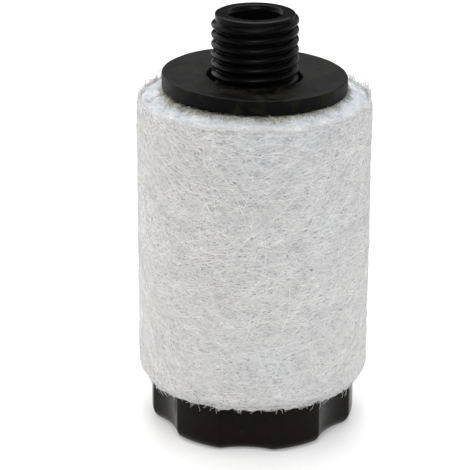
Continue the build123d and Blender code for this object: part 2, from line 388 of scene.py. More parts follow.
@dataclass(frozen=True)
class MouldedNylon:
    """Black injection-moulded nylon: glossy, with faint flow marks and a light dust."""

    name: str = "moulded_nylon"
    colour: Colour = (0.0030, 0.0030, 0.0036)
    dusty: Colour = (0.008, 0.0075, 0.007)
    gloss: float = 0.27
    specular: float = 0.042

    def build(self) -> bpy.types.Material:
        """Makes the material.

        Returns:
            The material.
        """
        graph = Graph(self.name)
        place = graph.place()
        flow = graph.noise(place, 260.0, 4.0, 0.55, 0.6)
        grain = graph.noise(place, 5200.0, 2.0)
        dust = graph.noise(place, 900.0, 6.0, 0.7).ramp(0.56, 0.74)
        return graph.finish({
            "Base Color": graph.blend(dust * 0.5, self.colour, self.dusty),
            "Roughness": (flow * 0.16 + self.gloss - 0.08 + dust * 0.18).clamp(),
            "Specular IOR Level": self.specular,
            "Normal": graph.bump(flow * 0.7 + grain * 0.3, 0.03 * MM, 0.6),
        })


@dataclass(frozen=True)
class MouldedRubber:
    """Matt black rubber with a mottled bloom and a fine moulded grain."""

    name: str = "gasket_rubber"
    colour: Colour = (0.0004, 0.0004, 0.0006)
    bloom: Colour = (0.0105, 0.0098, 0.0055)
    roughness: float = 0.5
    grain_size: float = 3200.0

    def build(self) -> bpy.types.Material:
        """Makes the material.

        Returns:
            The material.
        """
        graph = Graph(self.name)
        place = graph.place()
        mottle = graph.noise(place, 480.0, 5.0, 0.65, 0.4).ramp(0.44, 0.62)
        fine = graph.noise(place, self.grain_size, 3.0, 0.6)
        specks = graph.noise(place, 2400.0, 2.0).ramp(0.66, 0.74)
        return graph.finish({
            "Base Color": graph.blend((mottle * 0.75 + specks * 0.5).clamp(), self.colour, self.bloom),
            "Roughness": (mottle * 0.16 + fine * 0.20 + (self.roughness - 0.16)).clamp(),
            "Specular IOR Level": 0.08,
            "Normal": graph.bump(fine * 0.6 + mottle * 0.4, 0.05 * MM, 0.5),
        })


@dataclass(frozen=True)
class NonWoven:
    """Thin white non-woven: pale crossed strands, painted shade in the voids between them, felt showing
    through.

    Each strand layer is the narrow band in which a drawn-out noise passes its middle value.
    """

    name: str = "white_nonwoven"
    bright: Colour = (0.585, 0.583, 0.580)
    grey: Colour = (0.43, 0.432, 0.445)
    strand: Colour = (0.84, 0.832, 0.818)
    # colour of the painted shade in the voids between strands
    void_shade: Colour = (0.13, 0.135, 0.155)
    slants: tuple[float, ...] = (-0.50, -0.18, 0.12, 0.42)
    strand_narrowness: float = 1100.0
    strand_stretch: float = 9.0
    show_through: Colour = (0.52, 0.64, 0.69)
    top_height: float = 43.7 * MM

    def build(self) -> bpy.types.Material:
        """Makes the material.

        Returns:
            The material.
        """
        graph = Graph(self.name)
        place = graph.place()
        flat = graph.place(scale=(1, 1, 1.9))
        clouds = graph.noise(place, 420.0, 3.0, 0.6, 0.3)
        # voids and specks mark the hollows between strands, which get painted shade
        shaded_voids = graph.noise(flat, 2400.0, 2.0, 0.5, 0.6).ramp(0.54, 0.68)
        specks = graph.noise(flat, 1500.0, 1.0, 0.5, 0.3).ramp(0.69, 0.76)
        fuzz = graph.noise(graph.place(scale=(1, 1, 5.0)), 1700.0, 3.0, 0.6, 1.6)
        strands = 0.0
        for index, slant in enumerate(self.slants):
            place_along = graph.slanted((slant * 0.8, slant, 0.3 * index), self.strand_stretch)
            offset = graph.noise(place_along, 290.0, 2.0, 0.4, 0.3) - 0.5
            strands = strands + (offset * offset * -self.strand_narrowness + 1.0).clamp() * 0.45
        strands = strands.clamp()
        tint = graph.noise(place, 110.0, 3.0, 0.5).ramp(0.46, 0.70)
        axes = graph.node("ShaderNodeSeparateXYZ", {}, {"Vector": graph.place()})
        height = graph.wire(axes, "Z")
        near_top = height.ramp(self.top_height - 7.0 * MM, self.top_height)
        # tone grows darker towards the top of the sleeve and lighter towards the hem
        upward_darkening = height.ramp(10.0 * MM, self.top_height) * 0.5 - 0.25
        tone = (clouds.ramp(0.3, 0.7) * 0.5 + fuzz * 0.5 - upward_darkening).clamp()
        body = graph.blend(tone, self.grey, self.bright)
        body = graph.blend((tint * 0.14 + near_top * tint * 0.45).clamp(), body, self.show_through)
        # painted shade: voids and specks darken the body
        body = graph.blend((shaded_voids * 0.65 + specks * 0.75).clamp(), body, self.void_shade)
        return graph.finish({
            "Base Color": graph.blend(strands * 0.66, body, self.strand),
            "Roughness": (clouds * 0.1 + 0.78).clamp(),
            "Specular IOR Level": 0.2,
            "Normal": graph.bump(fuzz * 0.4 + strands * 0.4 - shaded_voids * 0.5 + 0.4, 0.10 * MM, 0.7),
        })


@dataclass(frozen=True)
class Felt:
    """Needled felt: pale ground, darker flecks, and a stain towards its inner rim."""

    name: str = "blue_felt"
    ground: Colour = (0.74, 0.785, 0.82)
    pale: Colour = (0.85, 0.86, 0.87)
    fleck: Colour = (0.34, 0.44, 0.50)
    stain: Colour = (0.42, 0.38, 0.26)
    stain_from: float = 12.4 * MM
    stain_to: float = 11.2 * MM
    stain_share: float = 0.8

    def build(self) -> bpy.types.Material:
        """Makes the material.

        Returns:
            The material.
        """
        graph = Graph(self.name)
        place = graph.place()
        axes = graph.node("ShaderNodeSeparateXYZ", {}, {"Vector": place})
        x, y = graph.wire(axes, "X"), graph.wire(axes, "Y")
        reach = (x * x + y * y) ** 0.5
        clouds = graph.noise(place, 500.0, 4.0, 0.6, 0.5)
        tuft = graph.noise(place, 2400.0, 4.0, 0.7, 1.5)
        fleck = graph.noise(place, 1300.0, 2.0, 0.5, 0.5).ramp(0.66, 0.74)
        ragged = reach + (graph.noise(place, 900.0, 3.0) - 0.5) * (1.2 * MM)
        stain = (ragged.ramp(self.stain_to, self.stain_from, 1.0, 0.0) * self.stain_share).clamp()
        body = graph.blend(clouds.ramp(0.35, 0.65), self.ground, self.pale)
        body = graph.blend(fleck * 0.7, body, self.fleck)
        return graph.finish({
            "Base Color": graph.blend(stain, body, self.stain),
            "Roughness": (clouds * 0.1 + 0.8).clamp(),
            "Specular IOR Level": 0.2,
            "Sheen Weight": 0.2,
            "Normal": graph.bump(tuft, 0.2 * MM, 0.8),
        })


@dataclass(frozen=True)
class Fibre:
    """Drawn polyester fibre: a satin thread whose tone drifts from place to place."""

    name: str = "fibre"
    light: Colour = (0.86, 0.853, 0.84)
    dark: Colour = (0.74, 0.737, 0.735)
    roughness: float = 0.5

    def build(self) -> bpy.types.Material:
        """Makes the material.

        Returns:
            The material.
        """
        graph = Graph(self.name)
        place = graph.place()
        drift = graph.noise(place, 700.0, 3.0, 0.6)
        fine = graph.noise(place, 6000.0, 2.0)
        return graph.finish({
            "Base Color": graph.blend(drift.ramp(0.3, 0.7), self.dark, self.light),
            "Roughness": (fine * 0.2 + self.roughness - 0.1).clamp(),
            "Specular IOR Level": 0.35,
            "Normal": graph.bump(fine, 0.01 * MM, 0.5),
        })


@dataclass(frozen=True)
class Metal:
    """Drawn or turned metal: lines from the tool round the axis, stains and small scratches."""

    name: str
    colour: Colour
    tarnish: Colour
    roughness: float = 0.32
    lines: float = 9000.0

    def build(self) -> bpy.types.Material:
        """Makes the material.

        Returns:
            The material.
        """
        graph = Graph(self.name)
        place = graph.place()
        rings = graph.noise(graph.place(scale=(0.04, 0.04, 1)), self.lines, 3.0, 0.6)
        stain = graph.noise(place, 480.0, 5.0, 0.6, 0.4).ramp(0.45, 0.75)
        return graph.finish({
            "Base Color": graph.blend(stain * 0.6, self.colour, self.tarnish),
            "Metallic": (1.0 - stain * 0.15).clamp(),
            "Roughness": (rings * 0.2 + stain * 0.2 + (self.roughness - 0.12)).clamp(),
            "Normal": graph.bump(rings, 0.02 * MM, 0.5),
        })


@dataclass(frozen=True)
class WovenWire:
    """Fine wire mesh: crossed sets of round wires over gaps painted dark as shade."""

    name: str = "woven_wire"
    wire_colour: Colour = (0.55, 0.55, 0.54)
    # colour of the painted shade in the gaps between wires
    gap_shade: Colour = (0.02, 0.02, 0.02)
    count: float = 2600.0

    def build(self) -> bpy.types.Material:
        """Makes the material.

        Returns:
            The material.
        """
        graph = Graph(self.name)
        bands = []
        for turn in ((0.0, 0.0, 0.0), (0.0, 0.0, math.pi / 2), (0.0, math.pi / 2, 0.0)):
            settings = {"wave_type": "BANDS", "bands_direction": "X"}
            inputs = {"Vector": graph.place(turn=turn), "Scale": self.count / 6.5}
            bands.append(graph.wire(graph.node("ShaderNodeTexWave", settings, inputs), 1))
        weave = (bands[0] * bands[1] * 1.2 + bands[2] * 0.4).clamp()
        return graph.finish({
            # painted shade fills the gaps between wires
            "Base Color": graph.blend(weave.ramp(0.1, 0.4), self.gap_shade, self.wire_colour),
            "Metallic": weave.ramp(0.1, 0.4, 0.0, 1.0),
            "Roughness": (0.5 - weave * 0.15).clamp(),
            "Normal": graph.bump(weave, 0.08 * MM, 0.8),
        })


@dataclass(frozen=True)
class SoftMedia:
    """Foam, fine fibre or cast resin: a ground colour with pores of one size."""

    name: str
    colour: Colour
    pore: Colour
    pore_count: float = 1800.0
    relief: float = 0.15 * MM
    roughness: float = 0.8

    def build(self) -> bpy.types.Material:
        """Makes the material.

        Returns:
            The material.
        """
        graph = Graph(self.name)
        place = graph.place()
        pores = graph.cells(place, self.pore_count).ramp(0.1, 0.6)
        clouds = graph.noise(place, 400.0, 4.0, 0.6)
        tone = graph.blend(clouds.ramp(0.3, 0.75, 0.0, 0.35), self.colour, self.pore)
        return graph.finish({
            "Base Color": graph.blend(pores, self.pore, tone),
            "Roughness": (clouds * 0.15 + self.roughness - 0.08).clamp(),
            "Normal": graph.bump(pores * 0.7 + clouds * 0.3, self.relief, 0.7),
        })


# --- Loose fibres -----------------------------------------------------------------------------


@dataclass
class FibreMat:
    """Many short curved fibres, each a thin three-sided tube with both ends closed.

    One flat side of each tube faces away from the surface, so that it catches the light.

    A path is made of equal steps whose heading turns by a steady curl and a random drift. The tube's
    corners stand round the path on the axes side = tangent x outward and outward.
    """

    name: str
    count: int
    length: tuple[float, float]
    thickness: tuple[float, float]
    steps: int = 9
    curl: float = 1.2
    drift: float = 0.35
    seed: int = 1

    def draw(self) -> np.random.Generator:
        """The seeded random source of this mat."""
        return np.random.default_rng(self.seed)

    def headings(self, start: Array, lengths: Array, source: np.random.Generator) -> tuple[Array, Array]:
        """Offsets along two surface directions of every step.

        Args:
            start: heading of each fibre at its first point, in radians.
            lengths: length of each fibre.
            source: random source.

        Returns:
            Offsets along the first and the second direction, fibres by steps.
        """
        curl = source.normal(0, self.curl, (self.count, 1)) / self.steps
        wander = source.normal(0, self.drift, (self.count, self.steps))
        heading = start[:, None] + np.cumsum(curl + wander, axis=1)
        stride = (lengths / (self.steps - 1))[:, None]
        along = np.cumsum(np.cos(heading) * stride, axis=1)
        across = np.cumsum(np.sin(heading) * stride, axis=1)
        middle = self.steps // 2
        return along - along[:, middle : middle + 1], across - across[:, middle : middle + 1]

    def build(self, path: Array, outward: Array, source: np.random.Generator) -> bpy.types.Object:
        """Wraps a tube round every path.

        Args:
            path: fibres by steps by 3 points, in metres.
            outward: unit directions away from the surface, shaped as path.
            source: random source.

        Returns:
            The piece with all fibres in one mesh.
        """
        count, steps, _ = path.shape
        tangent = np.gradient(path, axis=1)
        tangent /= np.linalg.norm(tangent, axis=2, keepdims=True) + 1e-12
        side = np.cross(tangent, outward)
        side /= np.linalg.norm(side, axis=2, keepdims=True) + 1e-12
        up = np.cross(side, tangent)
        taper = 0.35 + 0.65 * np.sin(np.linspace(0.12, math.pi - 0.12, steps)) ** 0.5
        size = source.uniform(*self.thickness, (count, 1)) * taper / 2
        corners = []
        for turn in np.radians([30, 150, 270]):
            offset = side * math.cos(turn) + up * math.sin(turn)
            corners.append(path + offset * size[:, :, None])
        points = np.stack(corners, axis=2).reshape(-1, 3)
        quads = grid_faces(steps, 3, Ends.OPEN)
        first = np.arange(count)[:, None, None] * steps * 3
        sides = (quads[None] + first).reshape(-1, 4).tolist()
        starts = (np.array([[0, 1, 2]])[None] + first).reshape(-1, 3).tolist()
        stops = (np.array([[2, 1, 0]])[None] + first + (steps - 1) * 3).reshape(-1, 3).tolist()
        return new_piece(self.name, points, sides + starts + stops)


# --- Sub-assemblies ---------------------------------------------------------------------------


def lay(piece: bpy.types.Object, material: bpy.types.Material) -> bpy.types.Object:
    """Gives a layer of fibres its finish and lays it on the filter body.

    Args:
        piece: the layer.
        material: its finish.

    Returns:
        The same piece.
    """
    piece.data.materials.append(material)
    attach(piece, "filter_body")
    return piece


@dataclass
class Nipple:
    """The inlet: a threaded nipple on a seat flange, with a plain spigot below it."""

    pitch: float = 1.27 * MM
    thread_depth: float = 0.68 * MM
    crest_radius: float = 5.555 * MM
    shoulder_radius: float = 5.08 * MM
    land_radius: float = 4.60 * MM
    tip_drop: float = 1.05 * MM
    bore_radius: float = 3.4 * MM
    rim_round: float = 0.32 * MM
    spigot_radius: float = 5.4 * MM
    pocket_radius: float = 4.2 * MM
    pocket_depth: float = 1.7 * MM
    flange_thickness: float = 1.5 * MM
    flange_break: float = 0.15 * MM
    crest_height: float = 54.0 * MM
    neck_height: float = 1.2 * MM
    columns: int = 288

    def thread(self, height: Array, turn: Array) -> Array:
        """Radius of the thread.

        The right-hand helix makes the phase height / pitch - turn; away runs from 0 on a crest to 1
        in a root, and the ridge is 1 - away^2, round on top with a sharp root. The last ridge runs
        out over the first quarter of a turn, and above it stands a plain shoulder.

        Args:
            height: heights in metres.
            turn: places round the axis, where 1 is one turn.

        Returns:
            Radii in metres.
        """
        climb = (height - self.crest_height) / self.pitch
        lap = np.round(climb - turn)
        away = np.abs(climb - turn - lap) * 2
        root = self.crest_radius - self.thread_depth
        run_out = 1 - smooth_step(0.02, 0.24, turn + lap)
        above_ridge = smooth_step(-0.1, 0.1, climb - turn + 0.5) * smooth_step(0.0, 0.25, turn)
        shoulder = np.maximum(above_ridge, smooth_step(-0.1, 0.1, climb - 0.5))
        plain = root + (self.shoulder_radius - root) * shoulder
        return np.maximum(plain, root + self.thread_depth * (1 - away**2) * run_out)

    def build(self) -> bpy.types.Object:
        """Makes the nipple as one ring surface: bore, rim, thread, flange, spigot and pocket.

        Returns:
            The piece. Its tip is held under an ellipse from the land to the crests.
        """
        low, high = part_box("inlet_nipple")
        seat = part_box("port_gasket")[0][2]
        flange, top, foot = high[0], high[2], low[2]
        under, ledge = seat - self.flange_thickness, foot + self.pocket_depth
        root, cut = self.crest_radius - self.thread_depth, self.flange_break
        rim, rim_z = self.bore_radius + self.rim_round, top - self.rim_round
        body = [(self.bore_radius, ledge), (self.bore_radius, rim_z)]
        body += rounded_corner((rim, rim_z), self.rim_round, 180, 90, 6)
        body += [(self.bore_radius + 0.55 * MM, top), (self.land_radius, top - 0.02 * MM)]
        inner_r, inner_z = section_path(body, 0.5 * MM, closed=False)
        thread_low = seat + self.neck_height
        thread_z = np.arange(top, thread_low, -self.pitch / 22)[1:]
        lower = [(root, seat + 2 * cut), (root + 2 * cut, seat), (flange - cut, seat), (flange, seat - cut)]
        lower += [(flange, under + cut), (flange - cut, under), (self.spigot_radius, under)]
        lower += [(self.spigot_radius, foot + 0.2 * MM), (self.spigot_radius - 0.2 * MM, foot)]
        lower += [(self.pocket_radius, foot), (self.pocket_radius, ledge)]
        lower += [(self.bore_radius + 0.01 * MM, ledge)]
        lower_r, lower_z = section_path(lower, 0.6 * MM, closed=False)
        turn = np.arange(self.columns) / self.columns
        fade = smooth_step(thread_low, thread_low + 0.5 * MM, thread_z)[:, None]
        drop = np.clip((thread_z - (top - self.tip_drop)) / self.tip_drop, 0, 1)
        limit = self.land_radius + (self.crest_radius - self.land_radius) * np.sqrt(1 - drop**2)
        thread_r = root + fade * (self.thread(thread_z[:, None], turn[None]) - root)
        thread_r = np.minimum(thread_r, limit[:, None])
        spread = np.ones((1, self.columns))
        radius = np.vstack([inner_r[:, None] * spread, thread_r, lower_r[:, None] * spread])
        height = np.concatenate([inner_z, thread_z, lower_z])[:, None] * spread
        return ring_surface("threaded_nipple", radius, height, turn * TURN, Ends.JOINED)

    def dress(self) -> list[bpy.types.Object]:
        """Builds the nipple and gives it its finish and its place on the frame.

        Returns:
            The piece, in a list.
        """
        piece = self.build()
        piece.data.materials.append(MouldedNylon("nipple_nylon").build())
        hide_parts("inlet_nipple")
        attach(piece, "filter_body")
        return [piece]


@dataclass
class Gasket:
    """The loose flat gasket, slightly tilted and wavy as soft rubber lies, with a nick in its rim."""

    hole_radius: float = 6.0 * MM
    edge_round: float = 0.22 * MM
    tilt: float = 0.3 * MM
    waver: float = 0.03 * MM
    rim_waver: float = 0.035 * MM
    nick_angle: float = 0.12
    nick_width: float = 0.025
    nick_depth: float = 0.14 * MM
    columns: int = 320

    def build(self) -> bpy.types.Object:
        """Makes the ring: a rounded rectangle carried round, lifted by a tilt and a slow wave.

        Returns:
            The piece. The lift is tilt (1 - cos angle) r / outer, and the nick is a bell curve.
        """
        low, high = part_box("port_gasket")
        inner, outer, edge = self.hole_radius, high[0], self.edge_round
        bottom, top = low[2] + 0.02 * MM, high[2]
        section = [(inner, bottom + edge)]
        section += rounded_corner((inner + edge, top - edge), edge, 180, 90, 6)
        section += rounded_corner((outer - edge, top - edge), edge, 90, 0, 8)
        section += rounded_corner((outer - edge, bottom + edge), edge, 0, -90, 8)
        section += rounded_corner((inner + edge, bottom + edge), edge, 270, 180, 6)
        radius, height = section_path(section, 0.45 * MM)
        turn = np.arange(self.columns) / self.columns
        angle = turn * TURN
        wave = lattice_noise(turn[None], radius[:, None] / outer, (9, 3), 5) * self.waver
        rim = smooth_step(outer - 1.2 * MM, outer, radius)[:, None]
        outline = lattice_noise(turn[None], np.zeros((len(radius), 1)), (40, 1), 6) * self.rim_waver
        lift = self.tilt * (1 - np.cos(angle))[None] * (radius / outer)[:, None]
        from_nick = (angle - self.nick_angle + math.pi) % TURN - math.pi
        nick = np.exp(-((from_nick / self.nick_width) ** 2))[None] * self.nick_depth
        r = radius[:, None] + rim * (outline - nick)
        return ring_surface("flat_gasket", r, height[:, None] + lift + wave, angle, Ends.JOINED)

    def dress(self) -> list[bpy.types.Object]:
        """Builds the gasket and gives it its finish and its place on the frame.

        Returns:
            The piece, in a list.
        """
        piece = self.build()
        piece.data.materials.append(MouldedRubber().build())
        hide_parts("port_gasket")
        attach(piece, "port_gasket")
        return [piece]


@dataclass
class FeltSleeve:
    """The pale-blue drain felt, whose tufted end face shows round the gasket."""

    columns: int = 448
    face_rows: int = 46
    inner: float = 10.34 * MM
    face_inner: float = 11.05 * MM
    foot: float = 13.36 * MM
    disc_top: float = 8.4 * MM
    flange_bottom: float = 43.2 * MM
    face_level: float = 44.4 * MM
    contact_height: float = 44.68 * MM
    shoulder_height: float = 44.15 * MM
    rim_height: float = 43.50 * MM

    def face_height(self, radius: Array, turn: Array) -> Array:
        """Height of the felt's end face: high at the flange, sloping out, with tufts.

        Args:
            radius: distance from the axis.
            turn: place round the axis, where 1 is one turn.

        Returns:
            Heights in metres.
        """
        stops = [11.0 * MM, 11.6 * MM, 12.6 * MM, 14.4 * MM]
        levels = [self.contact_height, self.contact_height - 0.1 * MM, self.shoulder_height, self.rim_height]
        layers = (60, 10, 11, 0.10), (150, 24, 12, 0.07), (400, 60, 13, 0.05)
        lumps = summed_noise(turn, radius / (15 * MM), *layers) * MM
        return np.interp(radius, stops, levels) + lumps * (
            0.2 + 1.1 * smooth_step(11.3 * MM, 12.4 * MM, radius)
        )

    def build(self) -> bpy.types.Object:
        """Makes the sleeve: a section carried round, its top run replaced by the tufted end face.

        Returns:
            The piece.
        """
        low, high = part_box("drain_felt")
        outer, bottom = high[0] - 0.02 * MM, low[2] + 0.05 * MM
        section = [(self.inner, self.disc_top), (self.inner, self.flange_bottom)]
        section += [(self.face_inner, self.flange_bottom), (self.face_inner, self.face_level)]
        section += [(outer - 0.1 * MM, self.face_level), (outer, self.face_level - 1.0 * MM)]
        section += [(outer, bottom), (self.foot, bottom), (self.foot, self.disc_top)]
        coarse_r, coarse_z = section_path(section, 2.0 * MM)
        on_face = (coarse_z >= self.face_level - 0.01 * MM) & (coarse_r > self.face_inner)
        first = int(np.argmax(on_face))
        last = len(on_face) - int(np.argmax(on_face[::-1]))
        face_r = np.linspace(self.face_inner + 0.02 * MM, outer - 0.05 * MM, self.face_rows)
        radius = np.concatenate([coarse_r[:first], face_r, coarse_r[last:]])
        height = np.concatenate([coarse_z[:first], face_r * 0, coarse_z[last:]])
        turn = np.arange(self.columns) / self.columns
        spread = np.ones((1, self.columns))
        r, z = radius[:, None] * spread, height[:, None] * spread
        face = slice(first, first + self.face_rows)
        z[face] = self.face_height(r[face], turn[None] * spread)
        return ring_surface("drain_felt_sleeve", r, z, turn * TURN, Ends.JOINED)

    def fuzz(self, mat: FibreMat, ring: tuple[float, float], lift: float) -> bpy.types.Object:
        """Short fibres lying on the end face.

        Args:
            mat: count, sizes and curl of the fibres.
            ring: least and greatest distance of their middles from the axis.
            lift: greatest height of a fibre's middle above the face.

        Returns:
            The piece.
        """
        source = mat.draw()
        lengths = source.uniform(*mat.length, mat.count)
        along, across = mat.headings(source.uniform(0, TURN, mat.count), lengths, source)
        reach = source.uniform(*ring, (mat.count, 1))
        turn = source.uniform(0, 1, (mat.count, 1))
        radius = np.clip(reach + across, 10.9 * MM, 14.6 * MM)
        angle = turn * TURN + along / reach
        arch = np.sin(np.linspace(0, math.pi, mat.steps))[None] * source.uniform(0.1, 1, (mat.count, 1)) ** 2
        height = self.face_height(radius, (angle / TURN) % 1) + 0.03 * MM + arch * lift
        path = around_axis(radius, angle, height)[0]
        return mat.build(path, np.broadcast_to(UPWARDS, path.shape), source)

    def stray(self) -> bpy.types.Object:
        """Makes two loose fibres at the gasket's front edge, each a straight run raised by s (1 - s).

        Returns:
            The piece.
        """
        mat = FibreMat("stray_fibre", 2, (1 * MM, 2 * MM), (0.08 * MM, 0.10 * MM), steps=8, seed=65)
        share = np.linspace(0, 1, mat.steps)[None, :, None]
        starts = np.array([[1.7, -11.75, 45.15], [2.4, -12.1, 44.6]])[:, None] * MM
        ends = np.array([[3.1, -13.0, 44.45], [4.3, -12.9, 44.5]])[:, None] * MM
        path = starts * (1 - share) + ends * share
        path[..., 2] += (share * (1 - share))[..., 0] * np.array([[0.5], [0.9]]) * MM
        return mat.build(path, np.broadcast_to(UPWARDS, path.shape), mat.draw())

    def dress(self) -> list[bpy.types.Object]:
        """Builds the sleeve and its loose fibres and gives them their finishes and places.

        Returns:
            The sleeve, the fuzz on its face, the stained fuzz at the gasket and the stray fibres.
        """
        piece = self.build()
        piece.data.materials.append(Felt().build())
        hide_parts("drain_felt")
        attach(piece, "filter_body")
        thickness = (0.03 * MM, 0.07 * MM)
        on_face = FibreMat("felt_fuzz", 2600, (0.8 * MM, 3.0 * MM), thickness, 7, 1.8, seed=61)
        at_gasket = FibreMat("contact_fuzz", 1500, (0.5 * MM, 1.8 * MM), thickness, 7, 1.8, seed=63)
        blue = Fibre("felt_fibre", (0.90, 0.915, 0.925), (0.68, 0.745, 0.79))
        stained = Fibre("contact_fibre", (0.62, 0.61, 0.54), (0.34, 0.32, 0.25))
        straw = Fibre("stray_fibre", (0.80, 0.68, 0.42), (0.62, 0.48, 0.26))
        layers = [
            (self.fuzz(on_face, (11.2 * MM, 14.4 * MM), 0.25 * MM), blue),
            (self.fuzz(at_gasket, (11.3 * MM, 12.1 * MM), 0.5 * MM), stained),
            (self.stray(), straw),
        ]
        return [piece] + [lay(layer, fibre.build()) for layer, fibre in layers]


@dataclass
class WrapSleeve:
    """The white non-woven wrap: a thin clouded sleeve with a torn lip and a ragged hem."""

    columns: int = 560
    rows: int = 128
    top: float = 43.7 * MM
    bottom: float = 7.0 * MM
    top_radius: float = 14.95 * MM
    bottom_radius: float = 14.85 * MM
    inner_radius: float = 14.47 * MM
    turned_radius: float = 13.6 * MM
    turned_height: float = 7.46 * MM

    def skin(self, turn: Array, height: Array) -> Array:
        """Outer radius of the wrap: a slight cone with slow bulges, tufts and a pinch at both ends.

        Args:
            turn: place round the axis, where 1 is one turn.
            height: height in metres.

        Returns:
            Radii in metres.
        """
        share = (height - self.bottom) / (self.top - self.bottom)
        base = self.bottom_radius + (self.top_radius - self.bottom_radius) * share
        layers = (7, 4, 21, 0.06), (22, 10, 22, 0.03), (90, 40, 23, 0.014), (240, 96, 24, 0.016)
        soft_top = 0.25 * smooth_step(self.top - 0.9 * MM, self.top + 0.2 * MM, height) ** 2
        soft_foot = 0.9 * (1 - smooth_step(self.bottom - 0.1 * MM, self.bottom + 1.3 * MM, height)) ** 2
        return base + (summed_noise(turn, share, *layers) - soft_top - soft_foot) * MM

    def lip(self, turn: Array) -> Array:
        """Height of the torn upper lip round the sleeve."""
        torn = summed_noise(turn, 0 * turn, (11, 1, 31, 0.16), (47, 1, 32, 0.13), (160, 1, 33, 0.09))
        return self.top + (0.12 + torn) * MM

    def hem(self, turn: Array) -> Array:
        """Height of the ragged lower hem round the sleeve."""
        torn = summed_noise(turn, 0 * turn, (14, 1, 41, 0.12), (61, 1, 42, 0.14), (190, 1, 43, 0.12))
        return self.bottom + (-0.48 + torn) * MM

    def build(self) -> bpy.types.Object:
        """Makes the sleeve: outer skin between hem and lip, inner wall and a turned-in hem.

        Returns:
            The piece. Its skin's heights run evenly from the hem to the lip in every column.
        """
        turn = np.arange(self.columns) / self.columns
        share = np.linspace(0, 1, self.rows)[:, None]
        height = self.hem(turn) * (1 - share) + self.lip(turn) * share
        outer = self.skin(turn[None], height)
        edge, lip, hem = outer[-1:], height[-1:], height[:1]
        wall = edge * 0 + self.inner_radius
        rest = [(edge * 0.55 + self.inner_radius * 0.45, lip + 0.06 * MM), (wall, lip - 0.02 * MM)]
        rest += [(wall, lip * 0 + level * MM) for level in (43.0, 30.0, 18.0, 7.48)]
        rest += [(edge * 0 + self.turned_radius + 0.02 * MM, hem * 0 + self.turned_height)]
        rest += [(edge * 0 + self.turned_radius, hem + 0.12 * MM)]
        rest += [(edge * 0 + self.turned_radius + 0.35 * MM, hem - 0.04 * MM)]
        radius = np.vstack([outer] + [r for r, _ in rest])[::-1]
        levels = np.vstack([height] + [z for _, z in rest])[::-1]
        return ring_surface("nonwoven_sleeve", radius, levels, turn * TURN, Ends.JOINED)

    def fibres(self, mat: FibreMat, lift: tuple[float, float], spread: float) -> bpy.types.Object:
        """Fibres lying along the skin, whose heading sways by a sine of twice the turn.

        Args:
            mat: count, sizes and curl of the fibres.
            lift: least and greatest height of a fibre's middle above the skin.
            spread: how far headings stray from the swirl, in radians.

        Returns:
            The piece.
        """
        source = mat.draw()
        turn = source.uniform(0, 1, mat.count)
        share = source.uniform(0.0, 0.998, mat.count)
        swirl = -0.62 * np.sin(2 * TURN * turn) + lattice_noise(turn, share, (6, 4), 51) * 0.45
        lengths = source.uniform(*mat.length, mat.count)
        along, across = mat.headings(swirl + source.normal(0, spread, mat.count), lengths, source)
        z = self.bottom + (self.top - self.bottom) * share[:, None] + across
        z = np.clip(z, self.bottom - 0.20 * MM, self.top + 0.15 * MM)
        around = turn[:, None] + along / (TURN * self.top_radius)
        arch = np.sin(np.linspace(0, math.pi, mat.steps))[None]
        rise = lift[0] + (lift[1] - lift[0]) * source.uniform(0, 1, (mat.count, 1)) ** 4 * arch
        return mat.build(*around_axis(self.skin(around % 1, z) + rise, around * TURN, z), source)

    def fringe(
        self, mat: FibreMat, edge: Callable[[Array], Array], reach: float, inset: float, spread: float
    ) -> bpy.types.Object:
        """Curled fibre ends along the lip or the hem.

        Args:
            mat: count, sizes and curl of the fibres.
            edge: function of the turn that gives the edge's height.
            reach: how far the fibres' middles stray past the edge; negative is downwards.
            inset: how far inside the skin they start.
            spread: how far headings stray from level, in radians.

        Returns:
            The piece.
        """
        source = mat.draw()
        turn = source.uniform(0, 1, mat.count)
        lengths = mat.length[0] + (mat.length[1] - mat.length[0]) * source.uniform(0, 1, mat.count) ** 3
        along, across = mat.headings(source.normal(0, spread, mat.count), lengths, source)
        start = edge(turn) + reach * source.uniform(-0.6, 1, mat.count) * source.uniform(0, 1, mat.count)
        z = start[:, None] + across
        around = turn[:, None] + along / (TURN * self.top_radius)
        middle = np.clip(z, self.bottom + 0.2 * MM, self.top - 0.2 * MM)
        radius = self.skin(around % 1, middle) - inset * source.uniform(0, 1, (mat.count, 1))
        radius = radius + source.normal(0, 0.06 * MM, (mat.count, 1))
        return mat.build(*around_axis(radius, around * TURN, z), source)

